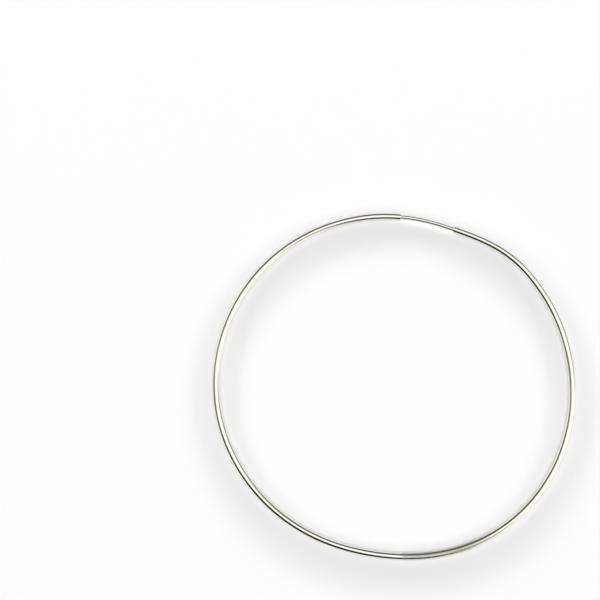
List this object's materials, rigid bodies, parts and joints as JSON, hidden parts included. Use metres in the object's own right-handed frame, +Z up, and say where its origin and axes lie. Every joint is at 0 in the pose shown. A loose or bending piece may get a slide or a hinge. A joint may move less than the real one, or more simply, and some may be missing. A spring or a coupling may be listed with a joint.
{
  "type": "hoop earring",
  "caption": "Thin polished endless hoop earring: a hollow round tube bent to a ring, closed by a finer ear wire that runs into the tube's open ends.",
  "frame": {"origin": "middle of the hoop's outline in plan, on the surface that the hoop lies on", "axes": "+Z straight up out of the plane of the hoop as it lies flat; +Y towards the side with the closure, whose exposed wire is centred 78 degrees anticlockwise from +X"},
  "size_m": [0.0596, 0.06, 0.0012],
  "materials": {
    "polished_tube": "mirror-polished silver with faint hairlines and slight unevenness along the tube",
    "drawn_wire": "drawn and polished silver wire with fine lines along its length"
  },
  "bodies": {
    "root": {"hoop_tube": "polished_tube", "ear_wire": "drawn_wire"}
  },
  "joints": []
}
